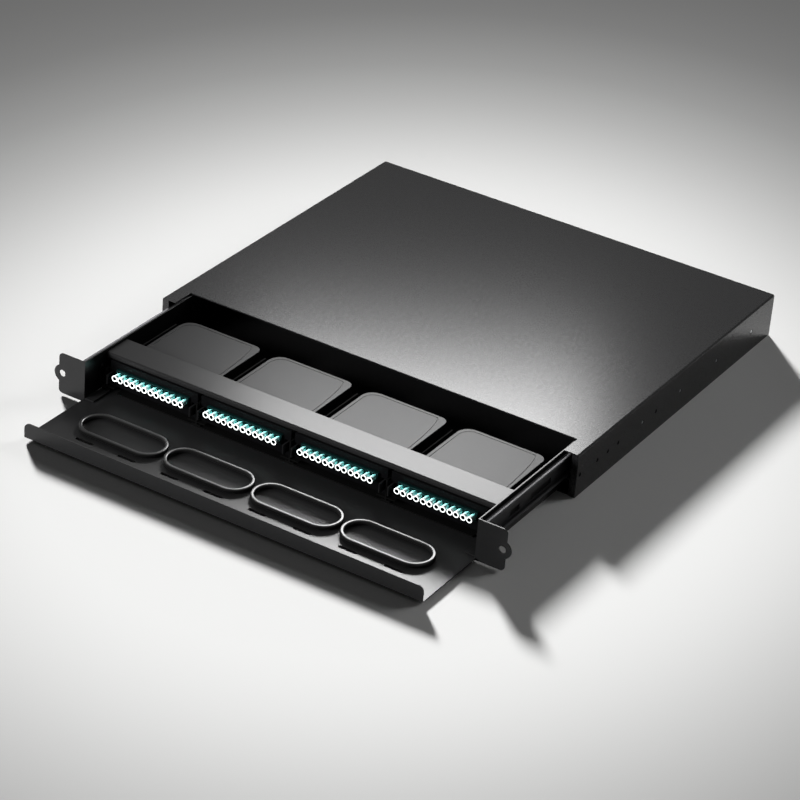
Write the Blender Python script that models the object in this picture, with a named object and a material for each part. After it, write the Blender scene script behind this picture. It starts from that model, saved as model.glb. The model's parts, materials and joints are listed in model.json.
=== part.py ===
# Sliding fibre distribution box for a 19 inch rack, one unit high. A folded steel case
# holds a drawer on ball slides, and the drawer holds four plug-in modules whose duplex
# adapters, closed with dust caps, face a front tray for the patch cords.
# Metres, +Z up. The origin is the middle of the whole box at the height of the case's
# underside, and the drawer opens towards -Y. At rest the drawer stands open by PULL_OUT.
import math

import bmesh
import bpy
from mathutils import Matrix, Vector

# Gap kept between pieces that rest on or touch each other.
SEAT = 0.0003

# Case: an inverted U of sheet steel over a base with upright rear wall.
CASE_WIDTH = 0.449
CASE_DEPTH = 0.384
CASE_HEIGHT = 0.044
CASE_SHEET = 0.0012
SHEET_BEND = 0.0008
TAB_WIDTH = 0.0152
NOTCH_DEPTH = 0.024
FRONT_RETURN = 0.0055
BASE_FLANGE = 0.0070

# Holes in the case's side walls: for the rail screws, for brackets and for locating.
SIDE_HOLE_DROP = 0.0062
SIDE_HOLE_DIAMETER = 0.0044
EDGE_HOLE_SETBACK = 0.0055
BRACKET_HOLE_SETBACK = 0.0370
BRACKET_HOLE_PITCH = 0.0192
BRACKET_HOLES = 3
RAIL_HOLE_SETBACK = 0.1215
RAIL_HOLE_END = 0.0135
RAIL_HOLES = 4
LOCATING_HOLE_STEP = 0.0250

# Cable entries in the case's rear wall, lined with rubber grommets.
ENTRY_DIAMETER = 0.0270
ENTRY_INSET = 0.0700
GROMMET_BORE = 0.0180
GROMMET_LIP = 0.0030
GROMMET_THICKNESS = 0.0064

# Ball slides between the drawer's walls and the case's walls.
SLIDE_SPACE = 0.0149
SLIDE_DROP = 0.0032
RUNNER_SPARE = 0.0204
RUNNER_FLANGE = 0.0058
RUNNER_SHEET = 0.0012
RAIL_SHEET = 0.0011
RACE_DEPTH = 0.0008
RACE_CENTRE = 0.0038
RACE_WIDTH = 0.0020
BALL_DIAMETER = 0.0026
BALLS_PER_RACE = 6
RETAINER_SHEET = 0.0008
RETAINER_LENGTH = 0.0840
RETAINER_SETBACK = 0.0540
RETAINER_WEB = 0.0074
RAIL_SETBACK = 0.0040
RAIL_REAR_SPACE = 0.0300
RUNNER_SETBACK = 0.0044

# Drawer: base with a front lip, and side walls that end in the rack ears.
PULL_OUT = 0.1400
REAR_SPACE = 0.0490
DRAWER_SHEET = 0.0012
FLOOR_HEIGHT = 0.0022
ROOF_GAP = 0.0008
WALL_FOOT = 0.0100
TRAY_DEPTH = 0.0850
LIP_HEIGHT = 0.0160
LIP_CORNER = 0.0060
REAR_LIP_HEIGHT = 0.0120

# Rack ears: the hole stands this far outside the case's side, which gives the hole spacing
# of a 19 inch panel, and the round lug about it gives the overall width.
EAR_HOLE_OUTSET = 0.00805
EAR_LUG_RADIUS = 0.00875
EAR_EDGE = 0.0037
EAR_BOTTOM = 0.0010
EAR_HOLE_DIAMETER = 0.0070
EAR_CORNER = 0.0040

# Front tray: oval cord rings and slots for cable ties.
RING_SIDE_SPACE = 0.0224
RING_GAP = 0.0026
RING_SETBACK = 0.0310
RING_RADIUS = 0.0193
RING_WALL = 0.0036
RING_HEIGHT = 0.0042
TIE_SLOT_SETBACK = 0.0576
TIE_SLOT_LENGTH = 0.0190
TIE_SLOT_WIDTH = 0.0040

# Module bay: bed plate, guide rails and the bar that covers the modules' fronts.
MODULES = 4
MODULE_SIDE_SPACE = 0.0052
BED_SIDE_SPACE = 0.0072
BED_SETBACK = 0.0250
BED_DEPTH = 0.1080
GUIDE_SETBACK = 0.0250
GUIDE_LENGTH = 0.1080
GUIDE_WEB = 0.0016
GUIDE_FOOT = 0.0090
GUIDE_LEDGE = 0.0095
GUIDE_LEDGE_TOP = 0.0090
GUIDE_DROP = 0.0060
GUIDE_SHEET = 0.0010
BAR_DEPTH = 0.0310
BAR_DROP = 0.0025
BAR_LIP = 0.0045
BAR_END_FLANGE = 0.0080

# Module: housing with a full-width front plate and a narrower body, and a lid.
MODULE_SETBACK = 0.0290
MODULE_DEPTH = 0.1080
MODULE_DROP = 0.0020
FRONT_SIDE_GAP = 0.0011
FRONT_PLATE = 0.0022
PLATE_RISE = 0.0016
LATCH_BAY = 0.0062
HOUSING_WALL = 0.0014
HOUSING_SHOULDER = 0.0230
BODY_LEFT_STEP = 0.0098
BODY_RIGHT_STEP = 0.0058
REAR_CORNER_LEFT = 0.0130
REAR_CORNER_RIGHT = 0.0080
LID_THICKNESS = 0.0010
PANEL_GROOVE = 0.0005
PANEL_GROOVE_DEPTH = 0.0004
PANEL_INSET_LEFT = 0.0030
PANEL_INSET_RIGHT = 0.0025
PANEL_FLARE = 0.0085

# Duplex adapters and their dust caps.
ADAPTERS = 6
ADAPTER_SIDE_SPACE = 0.0022
ADAPTER_GAP = 0.0004
ADAPTER_HEIGHT = 0.0094
ADAPTER_LENGTH = 0.0250
ADAPTER_STANDOUT = 0.0026
ADAPTER_COLLAR = 0.0014
PORT_SHIFT = 0.00025
PORT_RIB = 0.00145
PORT_HEIGHT = 0.0060
PORT_DEPTH = 0.0025
PORT_RAISE = 0.0024
CAP_GAP = 0.00045
CAP_WALL = 0.0011
CAP_LENGTH = 0.0070
CAP_PLUG_GAP = 0.00035

# Rear trunk adapter of a module.
TRUNK_WIDTH = 0.0165
TRUNK_HEIGHT = 0.0105
TRUNK_LENGTH = 0.0180
TRUNK_STANDOUT = 0.0080
TRUNK_PORT_WIDTH = 0.0126
TRUNK_PORT_HEIGHT = 0.0074
TRUNK_DROP = 0.00035

# Module latches: levers on upright spindles, pressed together at their front tabs. A
# nose on each lever faces a notch in the guide rail and holds the module.
LATCH_THICKNESS = 0.0018
LATCH_SPARE = 0.0142
LATCH_STANDOUT = 0.0090
LATCH_PIVOT_SETBACK = 0.0170
LATCH_SPINDLE = 0.0030
LATCH_PIN = 0.0020
LATCH_INSET = 0.0026
LATCH_SWING = 0.0026
LATCH_FOOT = 0.00475
LATCH_NOSE_SETBACK = 0.0085
LATCH_NOSE_LENGTH = 0.0040

# Fibre spools behind the modules.
SPOOL_RADIUS = 0.0300
SPOOL_WALL = 0.0020
SPOOL_TOP_SPACE = 0.0180
SPOOL_FINGER = 0.0080
SPOOL_FINGERS = 4
SPOOL_INSET = 0.0972
SPOOL_REAR_SPACE = 0.0450

# Fasteners.
SCREW_SHANK = 0.0034
SCREW_HEAD = 0.0070
SCREW_HEAD_HEIGHT = 0.0015
RIVET_SHANK = 0.0030
RUNNER_RIVETS = 3
RUNNER_RIVET_END = 0.0220

# Cut-outs in the runner's web, measured from the ear's front face.
SMALL_CUTOUT_SETBACK = 0.0510
SMALL_CUTOUT_LENGTH = 0.0160
LONG_CUTOUT_SETBACK = 0.0860
LONG_CUTOUT_LENGTH = 0.0350
CUTOUT_HEIGHT = 0.0062
CUTOUT_DROP = 0.0053
WALL_HOLE_SETBACK = 0.0790
WALL_HOLE_HEIGHT = 0.0105
WALL_HOLE_DIAMETER = 0.0035

# Sizes and places that follow from the ones above.
GROMMET_PROUD = (GROMMET_THICKNESS - CASE_SHEET) / 2
OVERALL_LENGTH = TRAY_DEPTH + DRAWER_SHEET + PULL_OUT + CASE_DEPTH + GROMMET_PROUD
CASE_REAR = OVERALL_LENGTH / 2 - GROMMET_PROUD
CASE_FRONT = CASE_REAR - CASE_DEPTH
CASE_INNER = CASE_WIDTH / 2 - CASE_SHEET
DRAWER_HALF = CASE_INNER - SLIDE_SPACE
WALL_INNER = DRAWER_HALF - DRAWER_SHEET
EAR_FRONT = CASE_FRONT - PULL_OUT - DRAWER_SHEET
EAR_HOLE_SPACING = CASE_WIDTH + 2 * EAR_HOLE_OUTSET
RING_PITCH = 2 * (DRAWER_HALF - RING_SIDE_SPACE) / MODULES
RING_LENGTH = RING_PITCH - RING_GAP
BED_WIDTH = 2 * (WALL_INNER - WALL_FOOT - BED_SIDE_SPACE)
SPOOL_SPACING = 2 * (WALL_INNER - SPOOL_INSET)
DRAWER_LENGTH = CASE_DEPTH - CASE_SHEET - REAR_SPACE + DRAWER_SHEET
FLOOR_TOP = FLOOR_HEIGHT + DRAWER_SHEET
FOOT_TOP = FLOOR_TOP + SEAT + DRAWER_SHEET
WALL_TOP = CASE_HEIGHT - CASE_SHEET - ROOF_GAP
RUNNER_HEIGHT = WALL_TOP - RUNNER_SPARE
SLIDE_HEIGHT = WALL_TOP - SLIDE_DROP - RUNNER_HEIGHT / 2
SIDE_HOLE_HEIGHT = SLIDE_HEIGHT - SIDE_HOLE_DROP
CUTOUT_CENTRE = SLIDE_HEIGHT - CUTOUT_DROP
BAR_TOP = WALL_TOP - BAR_DROP
SPOOL_HEIGHT = WALL_TOP - SPOOL_TOP_SPACE
RAIL_START = CASE_FRONT + RAIL_SETBACK
RAIL_END = CASE_REAR - RAIL_REAR_SPACE
RUNNER_END = DRAWER_LENGTH - RUNNER_SETBACK
RACE_SURFACE = RUNNER_HEIGHT / 2 - RACE_DEPTH
BALL_HEIGHT = RACE_SURFACE + SEAT + BALL_DIAMETER / 2
RAIL_RACE = BALL_HEIGHT + BALL_DIAMETER / 2 + SEAT
BAR_SETBACK = MODULE_SETBACK + FRONT_PLATE + SEAT
MODULE_FLOOR = GUIDE_LEDGE_TOP + SEAT
MODULE_HEIGHT = BAR_TOP - BAR_LIP - MODULE_DROP - MODULE_FLOOR
GUIDE_TOP = MODULE_FLOOR + MODULE_HEIGHT - GUIDE_DROP
PORT_CENTRE = MODULE_HEIGHT / 2 + PORT_RAISE
TRUNK_CENTRE = MODULE_HEIGHT / 2 - TRUNK_DROP
LATCH_HEIGHT = MODULE_HEIGHT - LATCH_SPARE
LATCH_CENTRE = LATCH_FOOT + LATCH_HEIGHT / 2
MODULE_PITCH = 2 * (WALL_INNER - MODULE_SIDE_SPACE) / MODULES
MODULE_HALF = MODULE_PITCH / 2 - GUIDE_WEB / 2 - FRONT_SIDE_GAP
FRONT_HALF = MODULE_HALF - LATCH_BAY
BODY_LEFT = BODY_LEFT_STEP - MODULE_PITCH / 2
BODY_RIGHT = MODULE_PITCH / 2 - BODY_RIGHT_STEP
BODY_MIDDLE = (BODY_LEFT + BODY_RIGHT) / 2
LID_BOTTOM = MODULE_HEIGHT - LID_THICKNESS
HOUSING_TOP = LID_BOTTOM - SEAT
PLATE_TOP = MODULE_HEIGHT + PLATE_RISE
ADAPTER_PITCH = 2 * (FRONT_HALF - ADAPTER_SIDE_SPACE) / ADAPTERS
ADAPTER_WIDTH = ADAPTER_PITCH - ADAPTER_GAP
ADAPTER_SPAN = ADAPTER_PITCH * ADAPTERS - ADAPTER_GAP
PORT_SPACING = ADAPTER_WIDTH / 2 - PORT_SHIFT
PORT_WIDTH = PORT_SPACING - PORT_RIB
CAP_DIAMETER = PORT_SPACING - CAP_GAP
CAP_BORE = CAP_DIAMETER - 2 * CAP_WALL
CAP_PLUG_DIAMETER = PORT_WIDTH - 2 * CAP_PLUG_GAP
LATCH_X = MODULE_HALF - LATCH_INSET
MIRRORED = {"left": -1, "right": 1}


def clear_scene():
    for item in list(bpy.data.objects):
        bpy.data.objects.remove(item, do_unlink=True)


def make_material(name, color, roughness, metallic):
    material = bpy.data.materials.new(name)
    material.use_nodes = True
    shader = material.node_tree.nodes["Principled BSDF"]
    shader.inputs["Base Color"].default_value = (*color, 1.0)
    shader.inputs["Roughness"].default_value = roughness
    shader.inputs["Metallic"].default_value = metallic
    return material


def make_empty(name, location, parent=None):
    empty = bpy.data.objects.new(name, None)
    bpy.context.collection.objects.link(empty)
    empty.location = location
    empty.parent = parent
    return empty


def make_object(name, mesh, parent=None, location=(0, 0, 0)):
    item = bpy.data.objects.new(name, mesh)
    bpy.context.collection.objects.link(item)
    item.location = location
    item.parent = parent
    return item


# A mesh from one or more closed shapes, with the material on every face.
def make_mesh(name, shape, material=None, smooth=False):
    bmesh.ops.recalc_face_normals(shape, faces=shape.faces)
    mesh = bpy.data.meshes.new(name)
    shape.to_mesh(mesh)
    shape.free()
    if material:
        mesh.materials.append(material)
    if smooth:
        mesh.shade_smooth()
        mesh.set_sharp_from_angle(angle=math.radians(35))
    return mesh


# Place of a flat point (u, v) at a height w along the named axis.
def place(u, v, w, axis):
    if axis == "x":
        return Vector((w, u, v))
    if axis == "y":
        return Vector((u, w, v))
    return Vector((u, v, w))


# A flat outline pushed from low to high along an axis. Holes are further outlines.
def add_prism(shape, outline, low, high, axis, holes=()):
    edges = []
    for loop in (outline, *holes):
        corners = [shape.verts.new(place(u, v, low, axis)) for u, v in loop]
        for index, corner in enumerate(corners):
            edges.append(shape.edges.new((corner, corners[(index + 1) % len(corners)])))
    filled = bmesh.ops.triangle_fill(shape, use_beauty=True, edges=edges)["geom"]
    faces = [item for item in filled if isinstance(item, bmesh.types.BMFace)]
    pushed = bmesh.ops.extrude_face_region(shape, geom=faces, use_keep_orig=True)["geom"]
    moved = [item for item in pushed if isinstance(item, bmesh.types.BMVert)]
    bmesh.ops.translate(shape, verts=moved, vec=place(0, 0, high - low, axis))


def prism(outline, low, high, axis, holes=()):
    shape = bmesh.new()
    add_prism(shape, outline, low, high, axis, holes)
    return shape


def rectangle(left, right, bottom, top):
    return [(left, bottom), (right, bottom), (right, top), (left, top)]


def box(x_low, x_high, y_low, y_high, z_low, z_high):
    return prism(rectangle(x_low, x_high, y_low, y_high), z_low, z_high, "z")


def circle(u, v, radius, steps):
    turn = 2 * math.pi / steps
    return [(u + radius * math.cos(turn * i), v + radius * math.sin(turn * i)) for i in range(steps)]


def arc(u, v, radius, start, end, steps):
    points = []
    for i in range(steps + 1):
        angle = math.radians(start + (end - start) * i / steps)
        points.append((u + radius * math.cos(angle), v + radius * math.sin(angle)))
    return points


# A slot with round ends, its length along u.
def slot(u, v, length, width, steps=4):
    radius = width / 2
    reach = length / 2 - radius
    return arc(u + reach, v, radius, -90, 90, steps) + arc(u - reach, v, radius, 90, 270, steps)


# The closed outline of a folded sheet: a sharp centre line, its thickness and the inner
# radius of its bends.
def folded_sheet(centre_line, thickness, inner_radius, steps=3):
    points = [Vector(point) for point in centre_line]
    radius = inner_radius + thickness / 2
    middle = []
    first = (points[1] - points[0]).normalized()
    middle.append((points[0], Vector((-first.y, first.x))))
    for before, corner, after in zip(points, points[1:], points[2:]):
        way_in = (corner - before).normalized()
        way_out = (after - corner).normalized()
        turn = math.atan2(way_in.cross(way_out), way_in.dot(way_out))
        side = math.copysign(1.0, turn)
        start_normal = Vector((-way_in.y, way_in.x))
        start = corner - way_in * radius * math.tan(abs(turn) / 2)
        centre = start + start_normal * side * radius
        for i in range(steps + 1):
            spin = Matrix.Rotation(turn * i / steps, 2)
            normal = spin @ start_normal
            middle.append((centre - normal * side * radius, normal))
    last = (points[-1] - points[-2]).normalized()
    middle.append((points[-1], Vector((-last.y, last.x))))
    left = [point + normal * thickness / 2 for point, normal in middle]
    right = [point - normal * thickness / 2 for point, normal in middle]
    return [(point.x, point.y) for point in left + right[::-1]]


# A turned shape: profile points are (radius, height) along the named axis.
def add_turned(shape, profile, steps, axis, centre=(0, 0, 0)):
    directions = {"x": Vector((1, 0, 0)), "y": Vector((0, 1, 0)), "z": Vector((0, 0, 1))}
    radial = directions["z"] if axis != "z" else directions["x"]
    origin = Vector(centre)
    corners = [shape.verts.new(origin + radial * r + directions[axis] * h) for r, h in profile]
    closed = profile[0][0] > 0
    pairs = list(zip(corners, corners[1:]))
    if closed:
        pairs.append((corners[-1], corners[0]))
    edges = [shape.edges.new(pair) for pair in pairs]
    bmesh.ops.spin(shape, geom=corners + edges, cent=origin, axis=directions[axis],
                   angle=2 * math.pi, steps=steps, use_merge=True)
    near_axis = [vert for vert in shape.verts
                 if ((vert.co - origin).cross(directions[axis])).length < 1e-6]
    bmesh.ops.remove_doubles(shape, verts=near_axis, dist=1e-6)


def turned(profile, steps, axis, centre=(0, 0, 0)):
    shape = bmesh.new()
    add_turned(shape, profile, steps, axis, centre)
    return shape


# One mesh joined to or cut by another, by the exact boolean.
def combine(mesh, tool_shape, operation):
    target = make_object("boolean_target", mesh)
    tool = make_object("boolean_tool", make_mesh("boolean_tool", tool_shape))
    modifier = target.modifiers.new("boolean", "BOOLEAN")
    modifier.operation = operation
    modifier.solver = "EXACT"
    modifier.object = tool
    bpy.context.view_layer.update()
    result = target.evaluated_get(bpy.context.evaluated_depsgraph_get())
    combined = bpy.data.meshes.new_from_object(result)
    bpy.data.objects.remove(target, do_unlink=True)
    bpy.data.objects.remove(tool, do_unlink=True)
    combined.name = mesh.name
    return combined


# Places of equal steps between two ends.
def spread(start, end, count):
    if count == 1:
        return [(start + end) / 2]
    return [start + (end - start) * i / (count - 1) for i in range(count)]


# Places of equal pitch, centred on zero.
def centred(count, pitch):
    return [(i - (count - 1) / 2) * pitch for i in range(count)]


def rail_hole_places():
    return spread(CASE_FRONT + RAIL_HOLE_SETBACK, RAIL_END - RAIL_HOLE_END, RAIL_HOLES)


def build_case_shell(steel):
    wall = CASE_WIDTH / 2 - CASE_SHEET / 2
    roof = CASE_HEIGHT - CASE_SHEET / 2
    section = folded_sheet([(-wall, 0), (-wall, roof), (wall, roof), (wall, 0)],
                           CASE_SHEET, SHEET_BEND)
    mesh = make_mesh("case_shell", prism(section, CASE_FRONT, CASE_REAR, "y"), steel)
    notch = CASE_WIDTH / 2 - TAB_WIDTH
    front = CASE_FRONT - CASE_SHEET
    mesh = combine(mesh, box(-notch, notch, front, CASE_FRONT + NOTCH_DEPTH,
                             CASE_HEIGHT - 2 * CASE_SHEET, CASE_HEIGHT + CASE_SHEET), "DIFFERENCE")
    for side in MIRRORED.values():
        outer = side * (CASE_INNER + CASE_SHEET / 2)
        inner = side * (CASE_INNER - FRONT_RETURN)
        strip = box(min(outer, inner), max(outer, inner), CASE_FRONT, CASE_FRONT + CASE_SHEET,
                    SEAT, CASE_HEIGHT - CASE_SHEET - SEAT)
        mesh = combine(mesh, strip, "UNION")
    holes = bmesh.new()
    reach = CASE_WIDTH / 2 + CASE_SHEET
    for place_y in side_hole_places():
        outline = circle(place_y, SIDE_HOLE_HEIGHT, SIDE_HOLE_DIAMETER / 2, 8)
        add_prism(holes, outline, -reach, reach, "x")
    mesh = combine(mesh, holes, "DIFFERENCE")
    make_object("case_shell", mesh)


def side_hole_places():
    brackets = [CASE_FRONT + BRACKET_HOLE_SETBACK + i * BRACKET_HOLE_PITCH
                for i in range(BRACKET_HOLES)]
    rails = rail_hole_places()
    return [CASE_FRONT + EDGE_HOLE_SETBACK, *brackets, *rails, rails[0] + LOCATING_HOLE_STEP]


def entry_places():
    outer = CASE_WIDTH / 2 - ENTRY_INSET
    return [-outer, outer]


def build_case_base(steel):
    side = CASE_INNER - SEAT - CASE_SHEET / 2
    floor = CASE_SHEET / 2
    section = folded_sheet([(-side, BASE_FLANGE + CASE_SHEET), (-side, floor), (side, floor),
                            (side, BASE_FLANGE + CASE_SHEET)], CASE_SHEET, SHEET_BEND)
    start = CASE_FRONT + CASE_SHEET + SEAT
    mesh = make_mesh("case_base", prism(section, start, CASE_REAR, "y"), steel)
    half = CASE_INNER - SEAT
    wall_top = CASE_HEIGHT - CASE_SHEET - SEAT
    corner = SHEET_BEND + CASE_SHEET
    outline = (arc(half - corner, corner, corner, -90, 0, 3)
               + [(half, wall_top), (-half, wall_top)]
               + arc(-half + corner, corner, corner, 180, 270, 3))
    mesh = combine(mesh, prism(outline, CASE_REAR - CASE_SHEET, CASE_REAR, "y"), "UNION")
    holes = bmesh.new()
    for place_x in entry_places():
        add_prism(holes, circle(place_x, CASE_HEIGHT / 2, ENTRY_DIAMETER / 2, 20),
                  CASE_REAR - 2 * CASE_SHEET, CASE_REAR + CASE_SHEET, "y")
    mesh = combine(mesh, holes, "DIFFERENCE")
    make_object("case_base", mesh)


def build_grommets(rubber):
    groove = ENTRY_DIAMETER / 2 - SEAT
    outer = ENTRY_DIAMETER / 2 + GROMMET_LIP
    bore = GROMMET_BORE / 2
    cheek = GROMMET_THICKNESS / 2
    lip = CASE_SHEET / 2 + SEAT
    crown = (outer + bore) / 2
    profile = [(bore, -cheek * 0.6), (crown, -cheek), (outer, -lip), (groove, -lip), (groove, lip),
               (outer, lip), (crown, cheek), (bore, cheek * 0.6)]
    mesh = make_mesh("grommet", turned(profile, 16, "y"), rubber, smooth=True)
    centre = CASE_REAR - CASE_SHEET / 2
    for name, place_x in zip(MIRRORED, entry_places()):
        make_object(f"entry_grommet_{name}", mesh, None, (place_x, centre, CASE_HEIGHT / 2))


# Place across the slide: distance out from the drawer's wall, and height from its centre.
def slide_point(side, out, up):
    return (side * (DRAWER_HALF + out), SLIDE_HEIGHT + up)


def slide_section(side, half_path, thickness, inner_radius):
    upper = [slide_point(side, out, up) for out, up in half_path]
    lower = [slide_point(side, out, -up) for out, up in half_path[::-1]]
    return folded_sheet(upper + lower, thickness, inner_radius)


def build_rail(name, side, zinc):
    flange = RAIL_RACE + RAIL_SHEET / 2
    web = SLIDE_SPACE - SEAT - RAIL_SHEET / 2
    lip = RACE_CENTRE - RACE_WIDTH / 2
    section = slide_section(side, [(lip - 0.0012, flange - 0.0009), (lip, flange), (web, flange)],
                            RAIL_SHEET, 0.0003)
    mesh = make_mesh(name, prism(section, RAIL_START, RAIL_END, "y"), zinc)
    holes = bmesh.new()
    low, high = sorted((side * (DRAWER_HALF + web - RAIL_SHEET), side * CASE_INNER))
    for place_y in rail_hole_places():
        add_prism(holes, circle(place_y, SIDE_HOLE_HEIGHT, SCREW_SHANK / 2 + SEAT, 10), low, high, "x")
    mesh = combine(mesh, holes, "DIFFERENCE")
    make_object(name, mesh)


def build_rail_screws(name, side, zinc):
    web_inner = SLIDE_SPACE - SEAT - RAIL_SHEET
    head_base = DRAWER_HALF + web_inner - SEAT
    head_end = head_base - SCREW_HEAD_HEIGHT
    shank_end = CASE_WIDTH / 2 - SEAT
    radius = SCREW_HEAD / 2
    profile = [(0, head_end), (radius * 0.7, head_end), (radius, (head_base + head_end) / 2),
               (radius, head_base), (SCREW_SHANK / 2, head_base), (SCREW_SHANK / 2, shank_end),
               (0, shank_end)]
    mesh = make_mesh("rail_screw", turned([(r, side * out) for r, out in profile], 8, "x"), zinc,
                     smooth=True)
    for index, place_y in enumerate(rail_hole_places(), start=1):
        make_object(f"rail_screw_{name}_{index}", mesh, None, (0, place_y, SIDE_HOLE_HEIGHT))


def ball_places():
    start = CASE_FRONT + RETAINER_SETBACK
    pitch = RETAINER_LENGTH / BALLS_PER_RACE
    return [start + pitch * (i + 0.5) for i in range(BALLS_PER_RACE)]


# The ball cage, its balls held in both flanges.
def build_retainer(name, side, steel, parent):
    inner = RETAINER_SHEET + SEAT / 3
    section = slide_section(side, [(inner, BALL_HEIGHT), (RETAINER_WEB, BALL_HEIGHT)],
                            RETAINER_SHEET, 0.0006)
    start = CASE_FRONT + RETAINER_SETBACK
    mesh = make_mesh(name, prism(section, start, start + RETAINER_LENGTH, "y"), steel)
    balls = bmesh.new()
    for place_y in ball_places():
        for up in (-BALL_HEIGHT, BALL_HEIGHT):
            x, z = slide_point(side, RACE_CENTRE, up)
            bmesh.ops.create_uvsphere(balls, u_segments=8, v_segments=4, radius=BALL_DIAMETER / 2,
                                      matrix=Matrix.Translation((x, place_y, z)))
    mesh = combine(mesh, balls, "UNION")
    mesh.shade_smooth()
    mesh.set_sharp_from_angle(angle=math.radians(50))
    add_to_world_place(make_object(name, mesh), parent)


# A piece modelled in world coordinates that hangs under an empty.
def add_to_world_place(item, parent):
    item.parent = parent
    item.location = -parent.location


def build_drawer_base(steel, parent):
    middle = FLOOR_HEIGHT + DRAWER_SHEET / 2
    front = -TRAY_DEPTH + DRAWER_SHEET / 2
    rear = DRAWER_LENGTH - DRAWER_SHEET / 2
    section = folded_sheet([(front, FLOOR_HEIGHT + LIP_HEIGHT), (front, middle), (rear, middle),
                            (rear, FLOOR_HEIGHT + REAR_LIP_HEIGHT)], DRAWER_SHEET, SHEET_BEND)
    mesh = make_mesh("drawer_base", prism(section, -DRAWER_HALF, DRAWER_HALF, "x"), steel)
    cuts = bmesh.new()
    lip_top = FLOOR_HEIGHT + LIP_HEIGHT
    for side in MIRRORED.values():
        strip = [side * (WALL_INNER - SEAT), side * (DRAWER_HALF + SEAT)]
        add_prism(cuts, rectangle(min(strip), max(strip), -SEAT, DRAWER_LENGTH + SEAT),
                  0, lip_top, "z")
        edge = side * DRAWER_HALF
        centre = side * (DRAWER_HALF - LIP_CORNER)
        start = 0 if side > 0 else 180
        corner = arc(centre, lip_top - LIP_CORNER, LIP_CORNER, start, 90, 5)
        outside = [(centre, lip_top + SEAT), (edge + side * SEAT, lip_top + SEAT),
                   (edge + side * SEAT, lip_top - LIP_CORNER)]
        add_prism(cuts, corner + outside, -TRAY_DEPTH - SEAT, -TRAY_DEPTH + 2 * DRAWER_SHEET, "y")
    mesh = combine(mesh, cuts, "DIFFERENCE")
    slots = bmesh.new()
    for place_x in centred(2 * MODULES, RING_PITCH / 2):
        outline = slot(place_x, -TIE_SLOT_SETBACK, TIE_SLOT_LENGTH, TIE_SLOT_WIDTH)
        add_prism(slots, outline, 0, FLOOR_TOP + DRAWER_SHEET, "z")
    mesh = combine(mesh, slots, "DIFFERENCE")
    make_object("drawer_base", mesh, parent)


def ear_outline(side):
    hole = EAR_HOLE_SPACING / 2
    edge = hole + EAR_EDGE
    middle = (EAR_BOTTOM + WALL_TOP) / 2
    swing = math.degrees(math.acos(EAR_EDGE / EAR_LUG_RADIUS))
    points = [(WALL_INNER, EAR_BOTTOM)]
    points += arc(edge - EAR_CORNER, EAR_BOTTOM + EAR_CORNER, EAR_CORNER, -90, 0, 4)
    points += arc(hole, middle, EAR_LUG_RADIUS, -swing, swing, 10)
    points += arc(edge - EAR_CORNER, WALL_TOP - EAR_CORNER, EAR_CORNER, 0, 90, 4)
    points += [(WALL_INNER, WALL_TOP)]
    return [(side * x, z) for x, z in points]


def build_drawer_side(name, side, steel, parent):
    wall = WALL_INNER + DRAWER_SHEET / 2
    foot = FLOOR_TOP + SEAT + DRAWER_SHEET / 2
    section = folded_sheet([(side * (WALL_INNER - WALL_FOOT), foot), (side * wall, foot),
                            (side * wall, WALL_TOP)], DRAWER_SHEET, SHEET_BEND)
    end = DRAWER_LENGTH - DRAWER_SHEET - SHEET_BEND - SEAT
    mesh = make_mesh(name, prism(section, DRAWER_SHEET / 2, end, "y"), steel)
    middle = (EAR_BOTTOM + WALL_TOP) / 2
    hole = circle(side * EAR_HOLE_SPACING / 2, middle, EAR_HOLE_DIAMETER / 2, 16)
    ear = prism(ear_outline(side), 0, DRAWER_SHEET, "y", [hole])
    mesh = combine(mesh, ear, "UNION")
    holes = bmesh.new()
    low, high = sorted((side * (WALL_INNER - SEAT), side * (DRAWER_HALF + SEAT)))
    add_prism(holes, circle(WALL_HOLE_SETBACK, WALL_HOLE_HEIGHT, WALL_HOLE_DIAMETER / 2, 10),
              low, high, "x")
    for place_y, place_z in runner_rivet_places():
        outline = circle(place_y, place_z, RIVET_SHANK / 2 + SEAT, 10)
        add_prism(holes, outline, low, high, "x")
    mesh = combine(mesh, holes, "DIFFERENCE")
    make_object(name, mesh, parent)


def runner_rivet_places():
    start = RUNNER_SETBACK + RUNNER_RIVET_END
    end = RUNNER_END - RUNNER_RIVET_END
    return [(place_y, SLIDE_HEIGHT) for place_y in spread(start, end, RUNNER_RIVETS)]


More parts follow.
